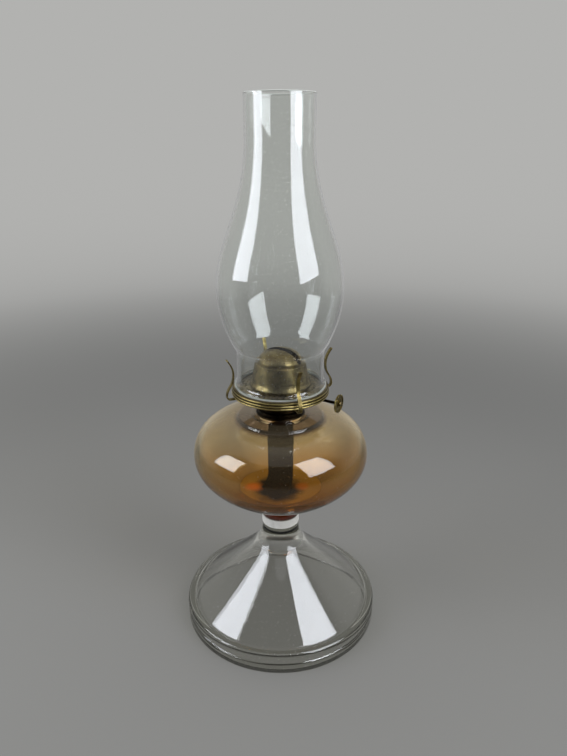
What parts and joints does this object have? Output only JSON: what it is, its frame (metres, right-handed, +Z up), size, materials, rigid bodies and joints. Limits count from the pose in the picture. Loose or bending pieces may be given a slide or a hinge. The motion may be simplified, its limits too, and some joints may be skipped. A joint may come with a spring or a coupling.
{
  "type": "kerosene table lamp",
  "caption": "Pressed-glass table oil lamp: footed stem, squat oil font, screw-in brass flat-wick burner with prong gallery, and a bulged glass chimney that lifts off.",
  "frame": {"origin": "centre of the foot's standing ring, on the table", "axes": "+Z up along the lamp's axis, -Y towards the front in the picture, thumb wheel at the front right"},
  "size_m": [0.1742, 0.1742, 0.4474],
  "materials": {
    "clear_glass": "clear pressed glass",
    "font_glass": "clear glass with a film of old oil inside",
    "chimney_glass": "thin clear blown glass, slightly hazy",
    "plaster": "dry plaster of Paris",
    "aged_brass": "dulled sheet brass with brown patina",
    "dark_brass": "blackened brass",
    "cotton_wick": "oil-soaked woven cotton, charred at the top"
  },
  "bodies": {
    "base": {"glass_foot": "clear_glass", "glass_font": "font_glass", "collar_cement": "plaster", "collar": "dark_brass"},
    "thread": {"screw_ring": "dark_brass"},
    "burner": {"air_basket": "dark_brass", "gallery": "aged_brass", "flame_dome": "aged_brass", "prong_1": "aged_brass", "prong_2": "aged_brass", "prong_3": "aged_brass", "prong_4": "aged_brass", "prong_rivets": "aged_brass", "wick_tube": "aged_brass", "spur_cover": "dark_brass", "shaft_bush": "dark_brass", "vent_tube": "dark_brass"},
    "raiser": {"raiser_shaft": "dark_brass", "spur_wheel_1": "dark_brass", "spur_wheel_2": "dark_brass", "spur_wheel_3": "dark_brass", "thumb_wheel": "aged_brass", "thumb_wheel_rivet": "aged_brass"},
    "wick_strip": {"wick": "cotton_wick"},
    "chimney_glass": {"chimney": "chimney_glass"}
  },
  "joints": [
    {"name": "burner_rise", "type": "slide", "parent": "base", "child": "thread", "axis": [0, 0, 1], "range_m": [0, 0.0045]},
    {"name": "burner_turn", "type": "hinge", "parent": "thread", "child": "burner", "pos_m": [0, 0, 0.209], "axis": [0, 0, 1], "range_deg": [0, 900]},
    {"name": "knob_turn", "type": "hinge", "parent": "burner", "child": "raiser", "pos_m": [0.00308, 0.00533, 0.21663], "axis": [0.866, -0.5, 0], "range_deg": [-127, 101]},
    {"name": "wick_lift", "type": "slide", "parent": "burner", "child": "wick_strip", "axis": [0, 0, 1], "range_m": [-0.008, 0.01]},
    {"name": "chimney_lift", "type": "slide", "parent": "burner", "child": "chimney_glass", "axis": [0, 0, 1], "range_m": [0, 0.045]}
  ],
  "couplings": [
    {"joint": "burner_rise", "follows": "burner_turn", "m_per_rad": 0.00028647},
    {"joint": "wick_lift", "follows": "knob_turn", "m_per_rad": -0.0045}
  ]
}
